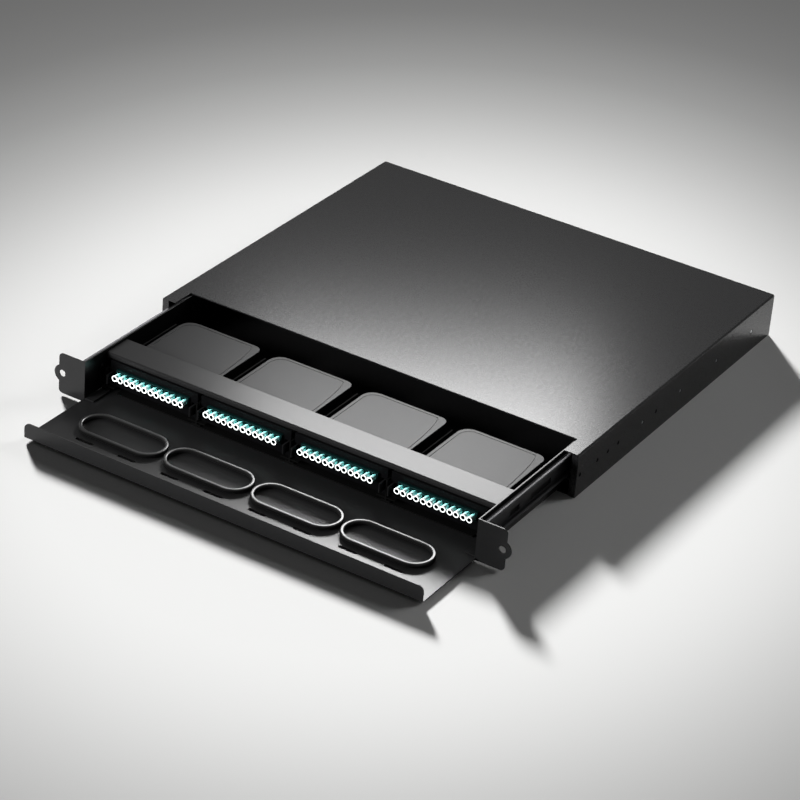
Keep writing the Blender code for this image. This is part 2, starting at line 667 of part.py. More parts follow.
# The drawer's half of the slide, clinched to the drawer's wall by bosses of its own sheet.
def build_runner(name, side, zinc, parent):
    half = RUNNER_HEIGHT / 2 - RUNNER_SHEET / 2
    web = SEAT + RUNNER_SHEET / 2
    race = half - RACE_DEPTH
    path = [(SEAT + RUNNER_FLANGE, half), (RACE_CENTRE + RACE_WIDTH / 2, race),
            (RACE_CENTRE - RACE_WIDTH / 2, race), (web, half)]
    section = slide_section(side, path, RUNNER_SHEET, 0.0002)
    mesh = make_mesh(name, prism(section, RUNNER_SETBACK, RUNNER_END, "y"), zinc)
    cuts = bmesh.new()
    low, high = sorted((side * DRAWER_HALF, side * (DRAWER_HALF + 2 * SEAT + RUNNER_SHEET)))
    for start, length in ((SMALL_CUTOUT_SETBACK, SMALL_CUTOUT_LENGTH),
                          (LONG_CUTOUT_SETBACK, LONG_CUTOUT_LENGTH)):
        outline = rectangle(start, start + length, CUTOUT_CENTRE - CUTOUT_HEIGHT / 2,
                            CUTOUT_CENTRE + CUTOUT_HEIGHT / 2)
        add_prism(cuts, outline, low, high, "x")
    mesh = combine(mesh, cuts, "DIFFERENCE")
    bosses = bmesh.new()
    profile = [(0, side * WALL_INNER), (RIVET_SHANK / 2, side * WALL_INNER),
               (RIVET_SHANK / 2, side * (DRAWER_HALF + SEAT + RUNNER_SHEET / 2)),
               (0, side * (DRAWER_HALF + SEAT + RUNNER_SHEET / 2))]
    for place_y, place_z in runner_rivet_places():
        add_turned(bosses, profile, 10, "x", (0, place_y, place_z))
    make_object(name, combine(mesh, bosses, "UNION"), parent)


# An oval cord ring: a rounded wall section carried round a stadium.
def build_rings(plastic, parent):
    straight = RING_LENGTH / 2 - RING_RADIUS
    edge = RING_WALL * 0.3
    section = [(0, 0), (0, RING_HEIGHT - edge), (-edge, RING_HEIGHT), (edge - RING_WALL, RING_HEIGHT),
               (-RING_WALL, RING_HEIGHT - edge), (-RING_WALL, 0)]
    stations = []
    for centre, start in ((straight, -90), (-straight, 90)):
        for i in range(11):
            angle = math.radians(start + 18 * i)
            stations.append((centre, math.cos(angle), math.sin(angle)))
    shape = bmesh.new()
    loops = []
    for centre, along, across in stations:
        loops.append([shape.verts.new((centre + (RING_RADIUS + out) * along,
                                       (RING_RADIUS + out) * across, up)) for out, up in section])
    for here, there in zip(loops, loops[1:] + loops[:1]):
        for i in range(len(section)):
            j = (i + 1) % len(section)
            shape.faces.new((here[i], here[j], there[j], there[i]))
    mesh = make_mesh("cord_ring", shape, plastic, smooth=True)
    for index, place_x in enumerate(centred(MODULES, RING_PITCH), start=1):
        make_object(f"cord_ring_{index}", mesh, parent, (place_x, -RING_SETBACK, FLOOR_TOP + SEAT))


def build_module_bed(steel, parent):
    low = FLOOR_TOP + SEAT
    plate = box(-BED_WIDTH / 2, BED_WIDTH / 2, BED_SETBACK, BED_SETBACK + BED_DEPTH,
                low, low + DRAWER_SHEET)
    make_object("module_bed", make_mesh("module_bed", plate, steel), parent)


# A guide rail's section: a web on a foot, with ledges that carry the modules' floors.
def guide_section(left_ledge, right_ledge):
    web = GUIDE_WEB / 2
    foot = GUIDE_FOOT / 2
    bottom = FOOT_TOP + SEAT
    ledge_low = GUIDE_LEDGE_TOP - GUIDE_SHEET
    half = [(foot, bottom), (foot, bottom + GUIDE_SHEET), (web, bottom + GUIDE_SHEET)]
    ledge = [(web, ledge_low), (GUIDE_LEDGE, ledge_low), (GUIDE_LEDGE, GUIDE_LEDGE_TOP),
             (web, GUIDE_LEDGE_TOP)]
    top = [(web, GUIDE_TOP)]
    right = half + (ledge if right_ledge else []) + top
    left = half + (ledge if left_ledge else []) + top
    return right + [(-x, z) for x, z in left[::-1]]


def build_guides(plastic, parent):
    nose = MODULE_SETBACK + LATCH_NOSE_SETBACK
    half_long = LATCH_NOSE_LENGTH / 2 + 2 * SEAT
    low = MODULE_FLOOR + LATCH_CENTRE - LATCH_HEIGHT / 2 - 2 * SEAT
    high = MODULE_FLOOR + LATCH_CENTRE + LATCH_HEIGHT / 2 + 2 * SEAT
    for index in range(MODULES + 1):
        section = guide_section(index > 0, index < MODULES)
        name = f"module_guide_{index + 1}"
        mesh = make_mesh(name, prism(section, GUIDE_SETBACK, GUIDE_SETBACK + GUIDE_LENGTH, "y"), plastic)
        notch = box(-GUIDE_WEB, GUIDE_WEB, nose - half_long, nose + half_long, low, high)
        mesh = combine(mesh, notch, "DIFFERENCE")
        make_object(name, mesh, parent, ((index - MODULES / 2) * MODULE_PITCH, 0, 0))


def build_cover_bar(steel, parent):
    sheet = DRAWER_SHEET / 2
    roof = BAR_TOP - sheet
    front = BAR_SETBACK + sheet
    rear = BAR_SETBACK + BAR_DEPTH
    section = folded_sheet([(front, BAR_TOP - BAR_LIP), (front, roof), (rear, roof)],
                           DRAWER_SHEET, SHEET_BEND)
    half = WALL_INNER - SEAT
    mesh = make_mesh("cover_bar", prism(section, -half, half, "x"), steel)
    for side in MIRRORED.values():
        low, high = sorted((side * (half - DRAWER_SHEET), side * half))
        end = box(low, high, front + SHEET_BEND + sheet, rear, roof - BAR_END_FLANGE, roof)
        mesh = combine(mesh, end, "UNION")
    make_object("cover_bar", mesh, parent)


# The body's plan behind the front plate: narrow between the latches, wide behind its
# shoulder, with rounded rear corners. Walls are left by an inset.
def body_plan(inset, front):
    left = BODY_LEFT + inset
    right = BODY_RIGHT - inset
    rear = MODULE_DEPTH - inset
    front_half = FRONT_HALF - inset
    shoulder = HOUSING_SHOULDER + inset
    corner_left = REAR_CORNER_LEFT - inset
    corner_right = REAR_CORNER_RIGHT - inset
    points = [(-front_half, front), (front_half, front), (front_half, shoulder), (right, shoulder)]
    points += arc(right - corner_right, rear - corner_right, corner_right, 0, 90, 4)
    points += arc(left + corner_left, rear - corner_left, corner_left, 90, 180, 5)
    points += [(left, shoulder), (-front_half, shoulder)]
    return points


# The outline of floor and lid: as wide as the front plate as far as the shoulder.
def cover_plan(front):
    points = [(-MODULE_HALF, front), (MODULE_HALF, front), (MODULE_HALF, HOUSING_SHOULDER)]
    return points + body_plan(0, 0)[3:-1] + [(-MODULE_HALF, HOUSING_SHOULDER)]


def latch_bores(low, high):
    bores = bmesh.new()
    for side in MIRRORED.values():
        outline = circle(side * LATCH_X, LATCH_PIVOT_SETBACK, LATCH_PIN / 2 + SEAT, 8)
        add_prism(bores, outline, low, high, "z")
    return bores


def build_housing_mesh(plastic):
    mesh = make_mesh("module_housing", prism(cover_plan(0), 0, HOUSING_WALL, "z"), plastic)
    plate = box(-MODULE_HALF, MODULE_HALF, 0, FRONT_PLATE, HOUSING_WALL / 2, PLATE_TOP)
    mesh = combine(mesh, plate, "UNION")
    body = prism(body_plan(0, FRONT_PLATE / 2), HOUSING_WALL / 2, HOUSING_TOP, "z")
    mesh = combine(mesh, body, "UNION")
    cavity = prism(body_plan(HOUSING_WALL, FRONT_PLATE), HOUSING_WALL, HOUSING_TOP + SEAT, "z")
    mesh = combine(mesh, cavity, "DIFFERENCE")
    cuts = bmesh.new()
    half_row = ADAPTER_SPAN / 2 + SEAT
    half_high = ADAPTER_HEIGHT / 2 + SEAT
    row = rectangle(-half_row, half_row, PORT_CENTRE - half_high, PORT_CENTRE + half_high)
    add_prism(cuts, row, -SEAT, FRONT_PLATE + SEAT, "y")
    window_inner = LATCH_X - LATCH_THICKNESS / 2 - LATCH_SWING
    window_low = LATCH_CENTRE - LATCH_HEIGHT / 2 - 2 * SEAT
    window_high = LATCH_CENTRE + LATCH_HEIGHT / 2 + 2 * SEAT
    for side in MIRRORED.values():
        low, high = sorted((side * window_inner, side * (MODULE_HALF + SEAT)))
        add_prism(cuts, rectangle(low, high, window_low, window_high), -SEAT, FRONT_PLATE + SEAT, "y")
    trunk = rectangle(BODY_MIDDLE - TRUNK_WIDTH / 2 - SEAT, BODY_MIDDLE + TRUNK_WIDTH / 2 + SEAT,
                      TRUNK_CENTRE - TRUNK_HEIGHT / 2 - SEAT, TRUNK_CENTRE + TRUNK_HEIGHT / 2 + SEAT)
    add_prism(cuts, trunk, MODULE_DEPTH - 2 * HOUSING_WALL, MODULE_DEPTH + SEAT, "y")
    mesh = combine(mesh, cuts, "DIFFERENCE")
    return combine(mesh, latch_bores(-SEAT, HOUSING_WALL + SEAT), "DIFFERENCE")


# The lid, with a fine groove round its raised field.
def build_lid_mesh(plastic):
    plan = cover_plan(FRONT_PLATE + SEAT)
    mesh = make_mesh("module_lid", prism(plan, LID_BOTTOM, MODULE_HEIGHT, "z"), plastic)
    front = BAR_SETBACK + BAR_DEPTH - MODULE_SETBACK - PANEL_INSET_LEFT
    outer = field_outline(front, 0)
    inner = field_outline(front + PANEL_GROOVE, PANEL_GROOVE)
    bottom = MODULE_HEIGHT - PANEL_GROOVE_DEPTH
    mesh = combine(mesh, prism(outer, bottom, MODULE_HEIGHT + SEAT, "z", [inner]), "DIFFERENCE")
    return combine(mesh, latch_bores(LID_BOTTOM - SEAT, MODULE_HEIGHT + SEAT), "DIFFERENCE")


def field_outline(front, inset):
    left = BODY_LEFT + PANEL_INSET_LEFT + inset
    right = BODY_RIGHT - PANEL_INSET_RIGHT - inset
    rear = MODULE_DEPTH - PANEL_INSET_LEFT - inset
    corner = REAR_CORNER_LEFT - inset
    flare = []
    for i in range(8):
        turn = math.pi / 2 * i / 7
        flare.append((right - PANEL_FLARE * (1 - math.cos(turn)), front + (rear - front) * math.sin(turn)))
    return [(left, front)] + flare + arc(left + corner, rear - corner, corner, 90, 180, 6)


# The module's row of duplex adapters behind one mounting flange, with its dust caps in.
def build_adapter_mesh(aqua):
    half_wide = ADAPTER_WIDTH / 2
    half_high = ADAPTER_HEIGHT / 2
    front = -ADAPTER_STANDOUT
    row = bmesh.new()
    for place_x in centred(ADAPTERS, ADAPTER_PITCH):
        outline = rectangle(place_x - half_wide, place_x + half_wide, front, front + ADAPTER_LENGTH)
        add_prism(row, outline, PORT_CENTRE - half_high, PORT_CENTRE + half_high, "z")
    flange = FRONT_PLATE + SEAT
    half_span = ADAPTER_SPAN / 2
    collar = box(-half_span, half_span, flange, flange + ADAPTER_COLLAR,
                 PORT_CENTRE - half_high - ADAPTER_COLLAR, PORT_CENTRE + half_high + ADAPTER_COLLAR)
    mesh = combine(make_mesh("adapters", collar, aqua), row, "UNION")
    ports = bmesh.new()
    for place_x in port_places():
        outline = rectangle(place_x - PORT_WIDTH / 2, place_x + PORT_WIDTH / 2,
                            PORT_CENTRE - PORT_HEIGHT / 2, PORT_CENTRE + PORT_HEIGHT / 2)
        add_prism(ports, outline, front - SEAT, front + PORT_DEPTH, "y")
    mesh = combine(mesh, ports, "DIFFERENCE")
    caps = bmesh.new()
    for place_x in port_places():
        add_turned(caps, cap_profile(), 8, "y", (place_x, 0, PORT_CENTRE))
    return combine(mesh, caps, "UNION")


# A dust cap: a plug in the port and a hollow round grip in front of it.
def cap_profile():
    base = -ADAPTER_STANDOUT - SEAT
    front = base - CAP_LENGTH
    plug = PORT_DEPTH - ADAPTER_STANDOUT + SEAT
    floor = base - CAP_LENGTH * 0.2
    return [(0, plug), (CAP_PLUG_DIAMETER / 2, plug), (CAP_PLUG_DIAMETER / 2, base),
            (CAP_DIAMETER / 2, base), (CAP_DIAMETER / 2, front), (CAP_BORE / 2, front),
            (CAP_BORE / 2, floor), (0, floor)]


def port_places():
    return [place_x + offset for place_x in centred(ADAPTERS, ADAPTER_PITCH)
            for offset in (-PORT_SPACING / 2, PORT_SPACING / 2)]


def build_trunk_mesh(black):
    rear = MODULE_DEPTH + TRUNK_STANDOUT
    half_wide = TRUNK_WIDTH / 2
    half_high = TRUNK_HEIGHT / 2
    left = BODY_MIDDLE - half_wide
    right = BODY_MIDDLE + half_wide
    low = TRUNK_CENTRE - half_high
    high = TRUNK_CENTRE + half_high
    mesh = make_mesh("trunk_adapter", box(left, right, rear - TRUNK_LENGTH, rear, low, high), black)
    collar_front = MODULE_DEPTH + SEAT
    collar = box(left - ADAPTER_COLLAR, right + ADAPTER_COLLAR, collar_front, collar_front + ADAPTER_COLLAR,
                 low - ADAPTER_COLLAR, high + ADAPTER_COLLAR)
    mesh = combine(mesh, collar, "UNION")
    wall_wide = (TRUNK_WIDTH - TRUNK_PORT_WIDTH) / 2
    wall_high = (TRUNK_HEIGHT - TRUNK_PORT_HEIGHT) / 2
    port = box(left + wall_wide, right - wall_wide, rear - TRUNK_LENGTH + HOUSING_WALL, rear + SEAT,
               low + wall_high, high - wall_high)
    return combine(mesh, port, "DIFFERENCE")


# A latch lever about its spindle's axis, its tab towards the front and its nose outwards.
def build_latch_mesh(name, side, plastic):
    pin = LATCH_PIN / 2
    spindle = LATCH_SPINDLE / 2
    low = HOUSING_WALL + SEAT
    high = LID_BOTTOM - SEAT
    profile = [(0, SEAT), (pin, SEAT), (pin, low), (spindle, low), (spindle, high), (pin, high),
               (pin, MODULE_HEIGHT - SEAT), (0, MODULE_HEIGHT - SEAT)]
    mesh = make_mesh(name, turned(profile, 8, "z"), plastic)
    half = LATCH_THICKNESS / 2
    front = -LATCH_PIVOT_SETBACK - LATCH_STANDOUT
    nose_out = LATCH_INSET + FRONT_SIDE_GAP - SEAT
    nose_front = LATCH_NOSE_SETBACK - LATCH_PIVOT_SETBACK - LATCH_NOSE_LENGTH / 2
    nose_rear = nose_front + LATCH_NOSE_LENGTH
    outline = [(-half, 0), (-half, front + half), (0, front), (half, front + half), (half, nose_front),
               (nose_out, nose_front + half), (nose_out, nose_rear), (half, nose_rear), (half, 0)]
    arm = prism([(side * x, y) for x, y in outline], LATCH_CENTRE - LATCH_HEIGHT / 2,
                LATCH_CENTRE + LATCH_HEIGHT / 2, "z")
    return combine(mesh, arm, "UNION")


def build_modules(drawer, materials):
    meshes = {
        "housing": build_housing_mesh(materials["black_plastic"]),
        "lid": build_lid_mesh(materials["module_lid"]),
        "adapters": build_adapter_mesh(materials["aqua"]),
        "trunk_adapter": build_trunk_mesh(materials["trunk_black"]),
    }
    latches = {name: build_latch_mesh(f"latch_{name}", side, materials["latch_grey"])
               for name, side in MIRRORED.items()}
    for index, place_x in enumerate(centred(MODULES, MODULE_PITCH), start=1):
        module = make_empty(f"module_{index}_slide", (place_x, MODULE_SETBACK, MODULE_FLOOR), drawer)
        for part, mesh in meshes.items():
            make_object(f"module_{index}_{part}", mesh, module)
        for name, side in MIRRORED.items():
            make_object(f"module_{index}_latch_{name}", latches[name], module,
                        (side * LATCH_X, LATCH_PIVOT_SETBACK, 0))


# A fibre spool: a round wall with outward fingers at its top that keep the fibre down.
def build_spools(plastic, parent):
    inner = SPOOL_RADIUS - SPOOL_WALL
    ring = turned([(inner, 0), (SPOOL_RADIUS, 0), (SPOOL_RADIUS, SPOOL_HEIGHT), (inner, SPOOL_HEIGHT)],
                  20, "z")
    mesh = make_mesh("fibre_spool", ring, plastic, smooth=True)
    fingers = bmesh.new()
    outline = slot((inner + SPOOL_RADIUS + SPOOL_FINGER) / 2, 0,
                   SPOOL_RADIUS + SPOOL_FINGER - inner - SEAT, SPOOL_FINGER, 3)
    for i in range(SPOOL_FINGERS):
        before = len(fingers.verts)
        add_prism(fingers, outline, SPOOL_HEIGHT - SPOOL_WALL * 0.8, SPOOL_HEIGHT - SPOOL_WALL * 0.1, "z")
        fingers.verts.ensure_lookup_table()
        bmesh.ops.rotate(fingers, verts=fingers.verts[before:], cent=(0, 0, 0),
                         matrix=Matrix.Rotation(math.radians(45) + 2 * math.pi * i / SPOOL_FINGERS, 3, "Z"))
    mesh = combine(mesh, fingers, "UNION")
    place_y = DRAWER_LENGTH - SPOOL_REAR_SPACE - SPOOL_RADIUS
    for name, side in MIRRORED.items():
        make_object(f"fibre_spool_{name}", mesh, parent,
                    (side * SPOOL_SPACING / 2, place_y, FLOOR_TOP + SEAT))


def main():
    clear_scene()
    materials = {
        "case_steel": make_material("case_steel", (0.022, 0.022, 0.024), 0.42, 0.0),
        "drawer_steel": make_material("drawer_steel", (0.022, 0.022, 0.024), 0.42, 0.0),
        "slide_steel": make_material("slide_steel", (0.030, 0.030, 0.032), 0.38, 0.4),
        "zinc": make_material("zinc", (0.55, 0.56, 0.58), 0.35, 1.0),
        "rubber": make_material("rubber", (0.015, 0.015, 0.015), 0.75, 0.0),
        "ring_plastic": make_material("ring_plastic", (0.02, 0.02, 0.02), 0.35, 0.0),
        "black_plastic": make_material("black_plastic", (0.02, 0.02, 0.021), 0.5, 0.0),
        "module_lid": make_material("module_lid", (0.022, 0.022, 0.024), 0.4, 0.0),
        "aqua": make_material("aqua", (0.03, 0.50, 0.48), 0.4, 0.0),
        "trunk_black": make_material("trunk_black", (0.018, 0.018, 0.018), 0.5, 0.0),
        "latch_grey": make_material("latch_grey", (0.05, 0.05, 0.052), 0.4, 0.0),
    }
    drawer = make_empty("drawer_slide", (0, EAR_FRONT, 0))
    build_case_shell(materials["case_steel"])
    build_case_base(materials["case_steel"])
    build_grommets(materials["rubber"])
    for name, side in MIRRORED.items():
        build_rail(f"slide_rail_{name}", side, materials["slide_steel"])
        build_rail_screws(name, side, materials["zinc"])
        retainer = make_empty(f"retainer_{name}_slide", (side * DRAWER_HALF, 0, SLIDE_HEIGHT))
        build_retainer(f"ball_retainer_{name}", side, materials["zinc"], retainer)
        build_drawer_side(f"drawer_side_{name}", side, materials["drawer_steel"], drawer)
        build_runner(f"slide_runner_{name}", side, materials["slide_steel"], drawer)
    build_drawer_base(materials["drawer_steel"], drawer)
    build_rings(materials["ring_plastic"], drawer)
    build_module_bed(materials["drawer_steel"], drawer)
    build_guides(materials["black_plastic"], drawer)
    build_cover_bar(materials["drawer_steel"], drawer)
    build_modules(drawer, materials)
    build_spools(materials["black_plastic"], drawer)


main()
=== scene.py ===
import json
import math
import bpy
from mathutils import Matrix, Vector


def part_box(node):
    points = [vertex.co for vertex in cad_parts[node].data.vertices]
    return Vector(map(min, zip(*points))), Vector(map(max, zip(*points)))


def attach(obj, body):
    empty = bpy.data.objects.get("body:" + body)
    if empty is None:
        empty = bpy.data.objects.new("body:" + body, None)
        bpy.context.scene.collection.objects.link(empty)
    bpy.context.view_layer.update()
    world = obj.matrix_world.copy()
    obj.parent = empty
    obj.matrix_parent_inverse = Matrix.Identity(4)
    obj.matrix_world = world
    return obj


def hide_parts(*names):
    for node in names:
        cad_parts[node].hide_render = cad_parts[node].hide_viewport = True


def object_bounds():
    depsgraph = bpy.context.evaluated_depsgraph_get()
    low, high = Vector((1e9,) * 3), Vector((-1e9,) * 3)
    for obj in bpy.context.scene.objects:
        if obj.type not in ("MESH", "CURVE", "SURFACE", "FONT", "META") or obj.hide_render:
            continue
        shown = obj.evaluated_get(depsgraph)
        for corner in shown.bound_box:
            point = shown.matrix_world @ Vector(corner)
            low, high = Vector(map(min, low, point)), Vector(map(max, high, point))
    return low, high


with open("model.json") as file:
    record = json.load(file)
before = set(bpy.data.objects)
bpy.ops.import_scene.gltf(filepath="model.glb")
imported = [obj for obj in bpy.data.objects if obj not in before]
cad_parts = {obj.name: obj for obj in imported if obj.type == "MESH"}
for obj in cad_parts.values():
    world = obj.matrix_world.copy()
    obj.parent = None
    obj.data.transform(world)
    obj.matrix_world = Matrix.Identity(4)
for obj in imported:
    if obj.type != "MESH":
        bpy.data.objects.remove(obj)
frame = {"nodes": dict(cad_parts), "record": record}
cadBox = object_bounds()
print("frame loaded")

bodyOfNode = {node: body for body, nodes in frame["record"]["behaviour"]["bodies"].items()
              for node in nodes}
sides = {"left": -1, "right": 1}
moduleNumbers = (1, 2, 3, 4)
turnForAxis = {"X": (0, math.pi / 2, 0), "Y": (math.pi / 2, 0, 0), "Z": (0, 0, 0)}
# A face looks along an axis when its normal reaches this far along it.
facing = 0.9
cleanUp = dict(weld=0.000004, spunWeld=0.000005, flatAngle=0.5, middle=0.00001)


# Small helpers for modelling with operators.
def deselectAll():
    if bpy.context.object and bpy.context.object.mode != "OBJECT":
        bpy.ops.object.mode_set(mode="OBJECT")
    bpy.ops.object.select_all(action="DESELECT")


def pick(item):
    deselectAll()
    item.select_set(True)
    bpy.context.view_layer.objects.active = item


# Goes into edit mode with only the faces that pass the test selected.
def editFaces(item, test):
    pick(item)
    for vertex in item.data.vertices:
        vertex.select = False
    for edge in item.data.edges:
        edge.select = False
    for face in item.data.polygons:
        face.select = test(face)
    bpy.ops.object.mode_set(mode="EDIT")
    bpy.ops.mesh.select_mode(type="FACE")


# Goes into edit mode with every point and edge selected.
def editAll(item):
    pick(item)
    bpy.ops.object.mode_set(mode="EDIT")
    bpy.ops.mesh.select_mode(type="VERT")
    bpy.ops.mesh.select_all(action="SELECT")


def objectMode():
    bpy.ops.object.mode_set(mode="OBJECT")


def extrudeBy(way):
    bpy.ops.mesh.extrude_region_move(TRANSFORM_OT_translate={"value": way})


# Turns all faces outwards and leaves edit mode.
def closeShape():
    bpy.ops.mesh.select_all(action="SELECT")
    bpy.ops.mesh.normals_make_consistent(inside=False)
    objectMode()


def applyPlace(item):
    pick(item)
    bpy.ops.object.transform_apply(location=True, rotation=True, scale=True)


# Sets a shape that was made at the origin on the floor of a box, in its middle.
def standIn(item, low, high):
    item.location = ((low.x + high.x) / 2, (low.y + high.y) / 2, low.z)
    applyPlace(item)


def blockAt(low, high):
    deselectAll()
    middle = [(a + b) / 2 for a, b in zip(low, high)]
    bpy.ops.mesh.primitive_cube_add(size=1, location=middle)
    item = bpy.context.object
    item.scale = [b - a for a, b in zip(low, high)]
    applyPlace(item)
    return item


def rodAlong(axis, radius, centre, length, steps):
    deselectAll()
    bpy.ops.mesh.primitive_cylinder_add(vertices=steps, radius=radius, depth=length,
                                        location=centre, rotation=turnForAxis[axis])
    item = bpy.context.object
    applyPlace(item)
    return item


def ballAt(radius, centre, segments, rings):
    deselectAll()
    bpy.ops.mesh.primitive_uv_sphere_add(segments=segments, ring_count=rings, radius=radius,
                                         location=centre)
    item = bpy.context.object
    applyPlace(item)
    bpy.ops.object.shade_smooth()
    return item


# An upright wall without thickness, round a circle or an oval with straight sides.
def uprightWall(radius, height, steps, straight=0.0):
    deselectAll()
    bpy.ops.mesh.primitive_circle_add(vertices=steps, radius=radius, fill_type="NOTHING")
    wall = bpy.context.object
    for vertex in wall.data.vertices:
        if abs(vertex.co.x) > cleanUp["middle"]:
            vertex.co.x += math.copysign(straight, vertex.co.x)
    editAll(wall)
    extrudeBy((0, 0, height))
    closeShape()
    return wall


def useModifier(item, kind, **settings):
    pick(item)
    modifier = item.modifiers.new(kind.lower(), kind)
    for key, value in settings.items():
        setattr(modifier, key, value)
    bpy.ops.object.modifier_apply(modifier=modifier.name)


def removeShape(item):
    bpy.data.objects.remove(item, do_unlink=True)


def cutAway(item, cutter):
    useModifier(item, "BOOLEAN", operation="DIFFERENCE", object=cutter, solver="EXACT")
    removeShape(cutter)


def shadeRound(item, angle=40):
    pick(item)
    bpy.ops.object.shade_smooth_by_angle(angle=math.radians(angle))


# Rounds the sharp edges and keeps the flat faces looking flat.
def softenEdges(item, width, segments=2, angle=35):
    useModifier(item, "BEVEL", width=width, segments=segments, limit_method="ANGLE",
                angle_limit=math.radians(angle), use_clamp_overlap=True)
    shadeRound(item, angle)
    useModifier(item, "WEIGHTED_NORMAL", weight=100, keep_sharp=True)


def joinAll(items):
    deselectAll()
    for item in items:
        item.select_set(True)
    bpy.context.view_layer.objects.active = items[0]
    bpy.ops.object.join()
    return bpy.context.object


def copyMoved(item, offset, turn=0):
    twin = item.copy()
    twin.data = item.data.copy()
    bpy.context.collection.objects.link(twin)
    twin.location = offset
    twin.rotation_euler.z = turn
    applyPlace(twin)
    return twin


# Gives a shape its finishes, the second one on the faces that pass the test.
def paint(item, materials, test=None):
    item.data.materials.clear()
    for material in materials:
        item.data.materials.append(material)
    for face in item.data.polygons:
        face.material_index = 1 if test and test(face) else 0


# Names a finished piece, ties it to its body and hides the solids that it stands for.
def finishPiece(item, name, nodes):
    item.name = name
    item.data.name = name
    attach(item, bodyOfNode[nodes[0]])
    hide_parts(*nodes)


def nodesNamed(start):
    return sorted(node for node in frame["nodes"] if node.startswith(start))


# Finishes. Most of a noise texture's values lie between these two.
noiseLow, noiseHigh = 0.3, 0.7


def newFinish(name, base, roughness, metallic=0.0, specular=0.5):
    material = bpy.data.materials.new(name)
    material.use_nodes = True
    shader = material.node_tree.nodes["Principled BSDF"]
    shader.inputs["Base Color"].default_value = (*base, 1)
    shader.inputs["Roughness"].default_value = roughness
    shader.inputs["Metallic"].default_value = metallic
    shader.inputs["Specular IOR Level"].default_value = specular
    return material, material.node_tree, shader


# Links the colour, roughness and relief of a finish to its shader.
def feedShader(tree, shader, colour, roughness, normal):
    for name, value in (("Base Color", colour), ("Roughness", roughness), ("Normal", normal)):
        tree.links.new(value, shader.inputs[name])


def objectPoint(tree):
    return tree.nodes.new("ShaderNodeTexCoord").outputs["Object"]


def noiseOn(tree, point, scale, detail=2.0, rough=0.5):
    noise = tree.nodes.new("ShaderNodeTexNoise")
    noise.inputs["Scale"].default_value = scale
    noise.inputs["Detail"].default_value = detail
    noise.inputs["Roughness"].default_value = rough
    tree.links.new(point, noise.inputs["Vector"])
    return noise.outputs["Fac"]


def spreadOver(tree, value, low, high, fromLow=noiseLow, fromHigh=noiseHigh):
    node = tree.nodes.new("ShaderNodeMapRange")
    node.inputs["From Min"].default_value = fromLow
    node.inputs["From Max"].default_value = fromHigh
    node.inputs["To Min"].default_value = low
    node.inputs["To Max"].default_value = high
    tree.links.new(value, node.inputs["Value"])
    return node.outputs["Result"]


# Colours along a ramp, given as pairs of place and colour.
def blendColours(tree, value, stops, curve="LINEAR"):
    ramp = tree.nodes.new("ShaderNodeValToRGB")
    ramp.color_ramp.interpolation = curve
    elements = ramp.color_ramp.elements
    while len(elements) < len(stops):
        elements.new(0.5)
    for element, (place, colour) in zip(elements, stops):
        element.position = place
        element.color = (*colour, 1)
    tree.links.new(value, ramp.inputs["Fac"])
    return ramp.outputs["Color"]


def scaled(tone, factor):
    return tuple(min(1.0, part * factor) for part in tone)


# A tone that noise makes darker and lighter by these factors.
def varyTone(tree, value, tone, darkest, lightest):
    return blendColours(tree, value, [(noiseLow, scaled(tone, darkest)),
                                      (noiseHigh, scaled(tone, lightest))])


def varyRoughness(tree, value, roughness, spread):
    return spreadOver(tree, value, roughness - spread, roughness + spread)


def bumpFrom(tree, value, strength, distance):
    bump = tree.nodes.new("ShaderNodeBump")
    bump.inputs["Strength"].default_value = strength
    bump.inputs["Distance"].default_value = distance
    tree.links.new(value, bump.inputs["Height"])
    return bump.outputs["Normal"]


coatLook = dict(grain=1800, detail=3.0, fineness=0.6, speckShare=0.6, darkest=0.7, lightest=1.4,
                roughSpread=0.02, relief=0.045, depth=0.0001)


# Powder coat: a dense orange peel over a coarser grain, with a little change of tone.
def powderCoat(name, tone, roughness, specular=0.5):
    material, tree, shader = newFinish(name, tone, roughness, specular=specular)
    point = objectPoint(tree)
    fine = noiseOn(tree, point, coatLook["grain"], coatLook["detail"], coatLook["fineness"])
    speck = noiseOn(tree, point, coatLook["grain"] * coatLook["speckShare"])
    peel = tree.nodes.new("ShaderNodeMath")
    peel.operation = "ADD"
    tree.links.new(fine, peel.inputs[0])
    tree.links.new(speck, peel.inputs[1])
    feedShader(tree, shader,
               varyTone(tree, speck, tone, coatLook["darkest"], coatLook["lightest"]),
               varyRoughness(tree, speck, roughness, coatLook["roughSpread"]),
               bumpFrom(tree, peel.outputs["Value"], coatLook["relief"], coatLook["depth"]))
    return material


plasticLook = dict(cloud=60, toneSpread=0.05, roughSpread=0.03, depth=0.00006)


# Moulded plastic: a faint spark-eroded grain.
def mouldedPlastic(name, tone, roughness, grain=900, relief=0.1, specular=0.5):
    material, tree, shader = newFinish(name, tone, roughness, specular=specular)
    point = objectPoint(tree)
    fine = noiseOn(tree, point, grain)
    slow = noiseOn(tree, point, plasticLook["cloud"])
    spread = plasticLook["toneSpread"]
    feedShader(tree, shader,
               varyTone(tree, slow, tone, 1 - spread, 1 + spread),
               varyRoughness(tree, fine, roughness, plasticLook["roughSpread"]),
               bumpFrom(tree, fine, relief, plasticLook["depth"]))
    return material


steelLook = dict(squeeze=0.04, streaks=1200, cloud=60, detail=3.0, darkest=0.85, lightest=1.1,
                 roughSpread=0.06, relief=0.15, depth=0.00005)


